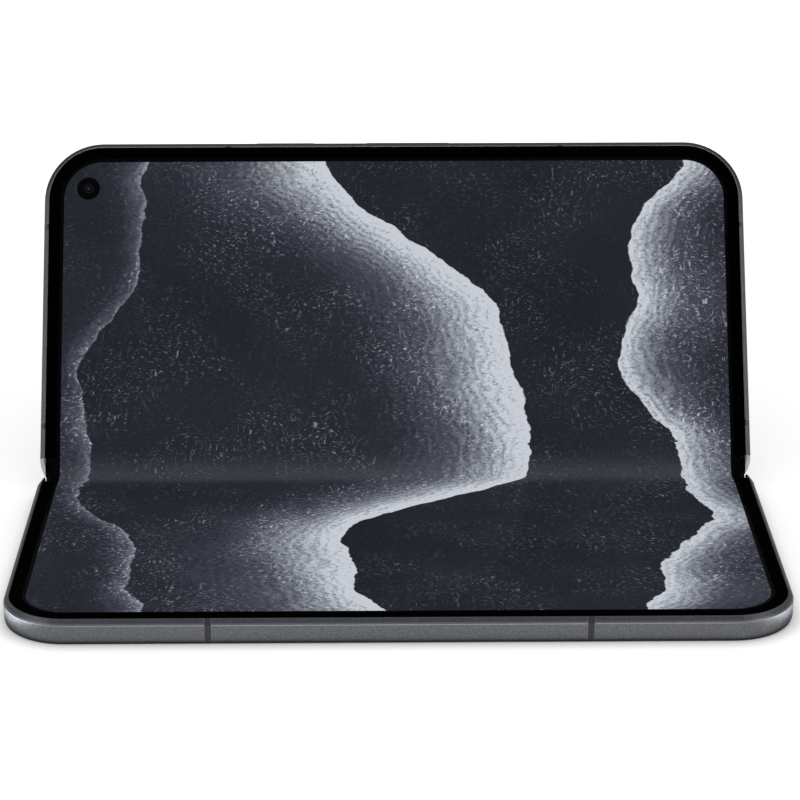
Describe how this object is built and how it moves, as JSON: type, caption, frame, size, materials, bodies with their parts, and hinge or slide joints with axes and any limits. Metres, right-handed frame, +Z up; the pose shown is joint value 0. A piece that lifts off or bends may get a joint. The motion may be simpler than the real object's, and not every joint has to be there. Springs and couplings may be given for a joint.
{
  "type": "foldable smartphone",
  "caption": "Book-style foldable phone standing half open, with one inner display over a geared hinge, cover display and side keys.",
  "frame": {"origin": "centre of the lower half's underside, on the glass that the phone rests on", "axes": "+X along the hinge towards the charging port, +Y from the lower half towards the hinge, +Z up"},
  "size_m": [0.1552, 0.1171, 0.0687],
  "materials": {
    "frame_metal": "bead-blasted anodised",
    "band_plastic": "moulded",
    "cap_metal": "polished",
    "bezel_plastic": "fine matte",
    "display": "polished film over the panel",
    "back_glass": "polished tinted glass, opaque",
    "lens_glass": "polished",
    "dark_plastic": "moulded",
    "hinge_steel": "machined",
    "spine_metal": "anodised",
    "shield_metal": "stamped",
    "board_laminate": "solder mask",
    "battery_foil": "foil pouch",
    "copper_coil": "wound wire",
    "magnet_nickel": "nickel plated",
    "key_metal": "anodised"
  },
  "bodies": {
    "lower_half": {"lower_frame": "frame_metal", "lower_antenna_bands": "band_plastic", "lower_corner_caps": "cap_metal", "lower_bezel": "bezel_plastic", "inner_display_lower": "display", "cover_glass": "back_glass", "cover_display_panel": "display", "cover_camera": "dark_plastic", "lower_battery": "battery_foil", "lower_board": "board_laminate", "lower_shield": "shield_metal", "earpiece_speaker": "dark_plastic", "vibration_motor": "shield_metal", "sim_reader": "shield_metal", "lower_magnets": "magnet_nickel", "lower_hinge_arms": "hinge_steel", "lower_arm_screws": "hinge_steel"},
    "spine": {"spine_cover": "spine_metal", "spine_end_plugs": "spine_metal", "hinge_brackets": "hinge_steel", "inner_display_fold": "display"},
    "upper_half": {"upper_frame": "frame_metal", "upper_antenna_bands": "band_plastic", "upper_corner_caps": "cap_metal", "upper_bezel": "bezel_plastic", "inner_display_upper": "display", "rear_cover": "back_glass", "camera_plateau": "frame_metal", "camera_windows": "lens_glass", "camera_main": "dark_plastic", "camera_ultrawide": "dark_plastic", "camera_tele": "dark_plastic", "flash_lens": "lens_glass", "inner_camera": "dark_plastic", "upper_battery": "battery_foil", "wireless_coil": "copper_coil", "main_board": "board_laminate", "board_shields": "shield_metal", "loudspeaker": "dark_plastic", "usb_shell": "shield_metal", "usb_tongue": "dark_plastic", "button_switches": "dark_plastic", "upper_magnets": "magnet_nickel", "microphones": "dark_plastic", "upper_hinge_arms": "hinge_steel", "upper_arm_screws": "hinge_steel"},
    "outer_gear_lower": {"idler_outer_lower": "hinge_steel"},
    "inner_gear_lower": {"idler_inner_lower": "hinge_steel"},
    "inner_gear_upper": {"idler_inner_upper": "hinge_steel"},
    "outer_gear_upper": {"idler_outer_upper": "hinge_steel"},
    "wing_lower": {"lower_wing_plate": "hinge_steel"},
    "wing_upper": {"upper_wing_plate": "hinge_steel"},
    "power_key": {"power_button": "key_metal"},
    "volume_key": {"volume_rocker": "key_metal"},
    "card_tray": {"sim_tray": "frame_metal"}
  },
  "joints": [
    {"name": "fold_lower", "type": "hinge", "parent": "lower_half", "child": "spine", "pos_m": [0, 0.03635, 0.00405], "axis": [1, 0, 0], "range_deg": [-29.58, 60.42]},
    {"name": "fold_upper", "type": "hinge", "parent": "spine", "child": "upper_half", "pos_m": [0, 0.03844, 0.00523], "axis": [1, 0, 0], "range_deg": [-29.6, 60.44], "deforming": ["inner_display_fold"]},
    {"name": "outer_lower_spin", "type": "hinge", "parent": "spine", "child": "outer_gear_lower", "pos_m": [0, 0.03677, 0.00245], "axis": [1, 0, 0], "range_deg": [-51.78, 105.75]},
    {"name": "inner_lower_spin", "type": "hinge", "parent": "spine", "child": "inner_gear_lower", "pos_m": [0, 0.03796, 0.00242], "axis": [1, 0, 0], "range_deg": [-105.75, 51.78]},
    {"name": "inner_upper_spin", "type": "hinge", "parent": "spine", "child": "inner_gear_upper", "pos_m": [0, 0.03901, 0.00301], "axis": [1, 0, 0], "range_deg": [-51.78, 105.75]},
    {"name": "outer_upper_spin", "type": "hinge", "parent": "spine", "child": "outer_gear_upper", "pos_m": [0, 0.0396, 0.00406], "axis": [1, 0, 0], "range_deg": [-105.75, 51.78]},
    {"name": "wing_lower_tilt", "type": "hinge", "parent": "lower_half", "child": "wing_lower", "pos_m": [0, 0.03055, 0.0043], "axis": [1, 0, 0], "range_deg": [-13.45, 6.59]},
    {"name": "wing_upper_tilt", "type": "hinge", "parent": "upper_half", "child": "wing_upper", "pos_m": [0, 0.0412, 0.01034], "axis": [1, 0, 0], "range_deg": [-6.59, 13.45]},
    {"name": "power_press", "type": "slide", "parent": "upper_half", "child": "power_key", "axis": [0, -0.5126, -0.8586], "range_m": [0, 0.0002], "stiffness_N_per_m": 800},
    {"name": "volume_rock", "type": "hinge", "parent": "upper_half", "child": "volume_key", "pos_m": [0.0031, 0.07671, 0.06612], "axis": [0, -0.8586, 0.5126], "range_deg": [-1.2, 1.2], "stiffness_Nm_per_rad": 0.03},
    {"name": "tray_slide", "type": "slide", "parent": "lower_half", "child": "card_tray", "axis": [1, 0, 0], "range_m": [0, 0.022]}
  ],
  "couplings": [
    {"joint": "fold_upper", "follows": "fold_lower", "ratio": 1},
    {"joint": "outer_lower_spin", "follows": "fold_lower", "ratio": 1.75},
    {"joint": "inner_lower_spin", "follows": "fold_lower", "ratio": -1.75},
    {"joint": "inner_upper_spin", "follows": "fold_lower", "ratio": 1.75},
    {"joint": "outer_upper_spin", "follows": "fold_lower", "ratio": -1.75},
    {"joint": "wing_lower_tilt", "follows": "fold_lower", "ratio": -0.22222},
    {"joint": "wing_upper_tilt", "follows": "fold_lower", "ratio": 0.22222}
  ]
}
